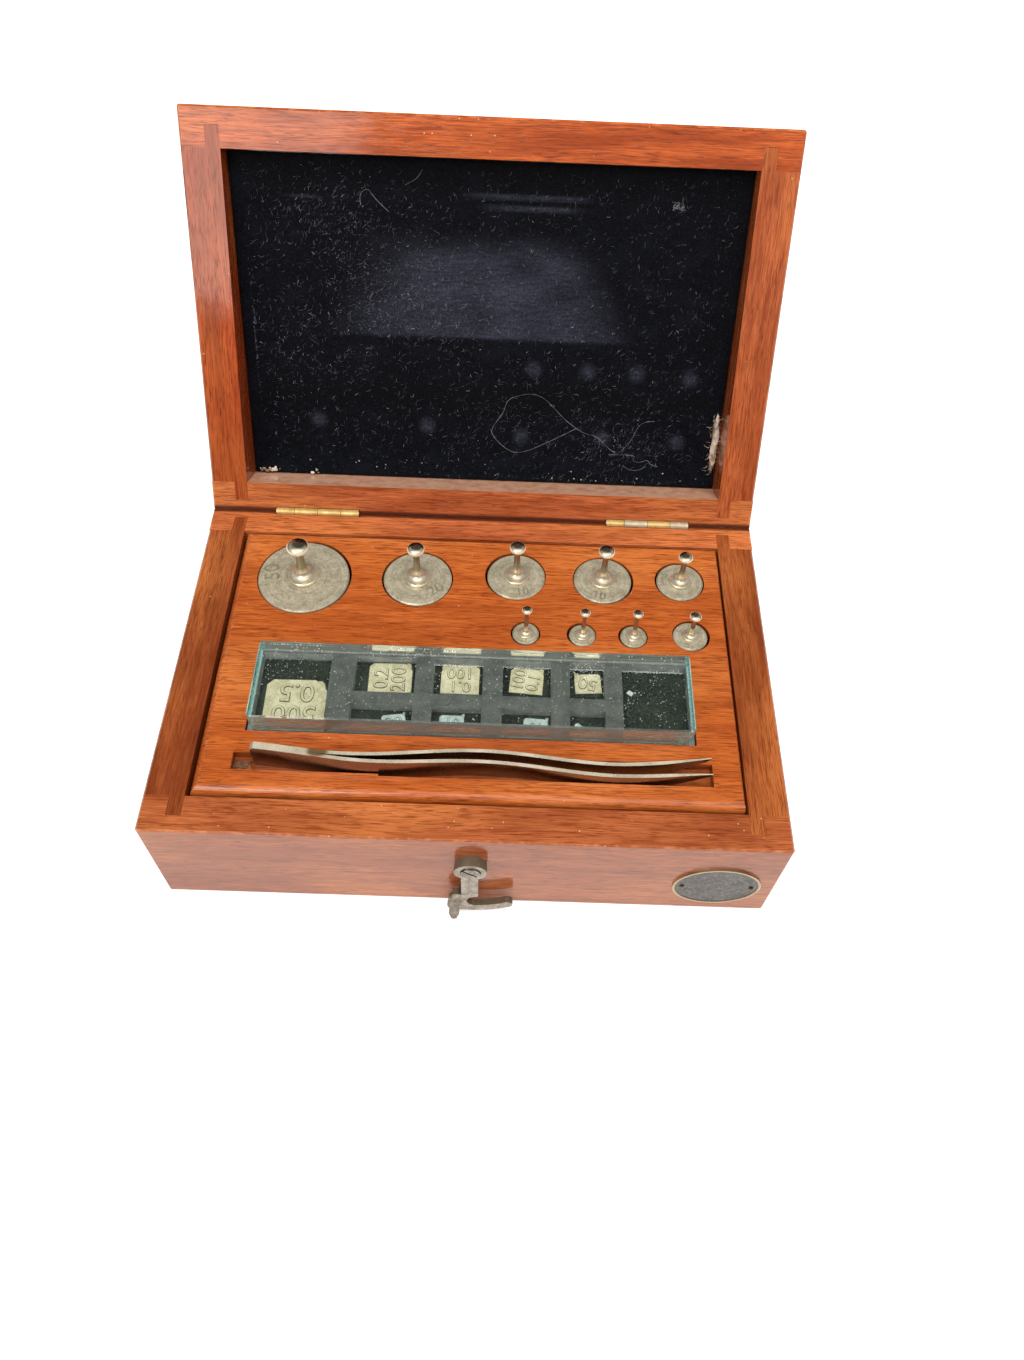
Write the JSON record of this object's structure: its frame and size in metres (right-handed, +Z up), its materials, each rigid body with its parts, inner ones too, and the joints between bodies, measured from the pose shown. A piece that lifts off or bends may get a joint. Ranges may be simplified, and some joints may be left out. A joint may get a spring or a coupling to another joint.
{
  "type": "boxed weight set",
  "caption": "Hinged wooden case of knobbed analytical weights in a drilled block, with sheet weights under cover glass and a pair of tweezers.",
  "frame": {"origin": "middle of the case's underside, where it rests on a table", "axes": "+X to the right seen from the front, +Y towards the hinged back edge, +Z up; the lid is open"},
  "size_m": [0.14, 0.1582, 0.1125],
  "materials": {
    "mahogany": "glossy French polish",
    "mahogany_ends": "polished end boards",
    "velvet": "short black pile",
    "grid": "satin black",
    "glass": "clear with green edges",
    "plated_brass": "worn pale plating",
    "nickel": "dull nickel plating",
    "brass": "tarnished",
    "steel": "worn nickel on steel",
    "enamel": "black enamel on brass",
    "nickel_silver": "dull rolled sheet",
    "aluminium": "rolled sheet"
  },
  "bodies": {
    "case_base": {"base_front": "mahogany", "base_back": "mahogany", "base_left": "mahogany_ends", "base_right": "mahogany_ends", "base_bottom": "mahogany_ends", "weight_block": "mahogany", "grid_velvet": "velvet", "sheet_grid": "grid", "hinge_left_base_leaf": "brass", "hinge_left_pin": "steel", "hinge_right_base_leaf": "brass", "hinge_right_pin": "steel", "hook_washer": "nickel", "hook_screw": "steel", "name_plate": "enamel", "name_plate_pins": "brass"},
    "lid": {"lid_front": "mahogany", "lid_back": "mahogany", "lid_left": "mahogany_ends", "lid_right": "mahogany_ends", "lid_panel": "mahogany", "lid_lining": "velvet", "hinge_left_lid_leaf": "brass", "hinge_right_lid_leaf": "brass", "catch_bush": "brass"},
    "hook": {"hook": "nickel"},
    "cover_glass": {"cover_glass": "glass"},
    "weight_50g": {"weight_50g_body": "plated_brass", "weight_50g_knob": "plated_brass"},
    "weight_20g": {"weight_20g_body": "plated_brass", "weight_20g_knob": "plated_brass"},
    "weight_10g_a": {"weight_10g_a_body": "plated_brass", "weight_10g_a_knob": "plated_brass"},
    "weight_10g_b": {"weight_10g_b_body": "plated_brass", "weight_10g_b_knob": "plated_brass"},
    "weight_5g": {"weight_5g_body": "plated_brass", "weight_5g_knob": "plated_brass"},
    "weight_2g": {"weight_2g_body": "plated_brass", "weight_2g_knob": "plated_brass"},
    "weight_1g_a": {"weight_1g_a_body": "plated_brass", "weight_1g_a_knob": "plated_brass"},
    "weight_1g_b": {"weight_1g_b_body": "plated_brass", "weight_1g_b_knob": "plated_brass"},
    "weight_1g_c": {"weight_1g_c_body": "plated_brass", "weight_1g_c_knob": "plated_brass"},
    "sheet_500mg": {"sheet_500mg": "nickel_silver"},
    "sheet_200mg": {"sheet_200mg": "nickel_silver"},
    "sheet_100mg_a": {"sheet_100mg_a": "nickel_silver"},
    "sheet_100mg_b": {"sheet_100mg_b": "nickel_silver"},
    "sheet_50mg": {"sheet_50mg": "nickel_silver"},
    "sheet_20mg": {"sheet_20mg": "aluminium"},
    "sheet_10mg_a": {"sheet_10mg_a": "aluminium"},
    "sheet_10mg_b": {"sheet_10mg_b": "aluminium"},
    "sheet_5mg": {"sheet_5mg": "aluminium"},
    "sheet_1mg": {"sheet_1mg": "aluminium"},
    "tweezers": {"tweezer_back_arm": "steel"},
    "tweezer_front": {"tweezer_front_arm": "steel"}
  },
  "joints": [
    {"name": "lid_hinge", "type": "hinge", "parent": "case_base", "child": "lid", "pos_m": [0, 0.04565, 0.0316], "axis": [-1, 0, 0], "range_deg": [-118.7, 0]},
    {"name": "hook_swing", "type": "hinge", "parent": "case_base", "child": "hook", "pos_m": [0.001, -0.0485, 0.0207], "axis": [0, 1, 0], "range_deg": [-180, 90]},
    {"name": "glass_lift", "type": "slide", "parent": "case_base", "child": "cover_glass", "axis": [0, 0, 1], "range_m": [0, 0.04]},
    {"name": "weight_50g_lift", "type": "slide", "parent": "case_base", "child": "weight_50g", "axis": [0, 0, 1], "range_m": [0, 0.04]},
    {"name": "weight_20g_lift", "type": "slide", "parent": "case_base", "child": "weight_20g", "axis": [0, 0, 1], "range_m": [0, 0.04]},
    {"name": "weight_10g_a_lift", "type": "slide", "parent": "case_base", "child": "weight_10g_a", "axis": [0, 0, 1], "range_m": [0, 0.04]},
    {"name": "weight_10g_b_lift", "type": "slide", "parent": "case_base", "child": "weight_10g_b", "axis": [0, 0, 1], "range_m": [0, 0.04]},
    {"name": "weight_5g_lift", "type": "slide", "parent": "case_base", "child": "weight_5g", "axis": [0, 0, 1], "range_m": [0, 0.04]},
    {"name": "weight_2g_lift", "type": "slide", "parent": "case_base", "child": "weight_2g", "axis": [0, 0, 1], "range_m": [0, 0.04]},
    {"name": "weight_1g_a_lift", "type": "slide", "parent": "case_base", "child": "weight_1g_a", "axis": [0, 0, 1], "range_m": [0, 0.04]},
    {"name": "weight_1g_b_lift", "type": "slide", "parent": "case_base", "child": "weight_1g_b", "axis": [0, 0, 1], "range_m": [0, 0.04]},
    {"name": "weight_1g_c_lift", "type": "slide", "parent": "case_base", "child": "weight_1g_c", "axis": [0, 0, 1], "range_m": [0, 0.04]},
    {"name": "sheet_500mg_lift", "type": "slide", "parent": "case_base", "child": "sheet_500mg", "axis": [0, 0, 1], "range_m": [0, 0.0012]},
    {"name": "sheet_200mg_lift", "type": "slide", "parent": "case_base", "child": "sheet_200mg", "axis": [0, 0, 1], "range_m": [0, 0.0012]},
    {"name": "sheet_100mg_a_lift", "type": "slide", "parent": "case_base", "child": "sheet_100mg_a", "axis": [0, 0, 1], "range_m": [0, 0.0012]},
    {"name": "sheet_100mg_b_lift", "type": "slide", "parent": "case_base", "child": "sheet_100mg_b", "axis": [0, 0, 1], "range_m": [0, 0.0012]},
    {"name": "sheet_50mg_lift", "type": "slide", "parent": "case_base", "child": "sheet_50mg", "axis": [0, 0, 1], "range_m": [0, 0.0012]},
    {"name": "sheet_20mg_lift", "type": "slide", "parent": "case_base", "child": "sheet_20mg", "axis": [0, 0, 1], "range_m": [0, 0.0012]},
    {"name": "sheet_10mg_a_lift", "type": "slide", "parent": "case_base", "child": "sheet_10mg_a", "axis": [0, 0, 1], "range_m": [0, 0.0012]},
    {"name": "sheet_10mg_b_lift", "type": "slide", "parent": "case_base", "child": "sheet_10mg_b", "axis": [0, 0, 1], "range_m": [0, 0.0012]},
    {"name": "sheet_5mg_lift", "type": "slide", "parent": "case_base", "child": "sheet_5mg", "axis": [0, 0, 1], "range_m": [0, 0.0012]},
    {"name": "sheet_1mg_lift", "type": "slide", "parent": "case_base", "child": "sheet_1mg", "axis": [0, 0, 1], "range_m": [0, 0.0012]},
    {"name": "tweezers_lift", "type": "slide", "parent": "case_base", "child": "tweezers", "axis": [0, 0, 1], "range_m": [0, 0.04]},
    {"name": "tweezers_squeeze", "type": "hinge", "parent": "tweezers", "child": "tweezer_front", "pos_m": [-0.0335, -0.0292, 0.033], "axis": [0, 0, 1], "range_deg": [0, 1.6]}
  ]
}
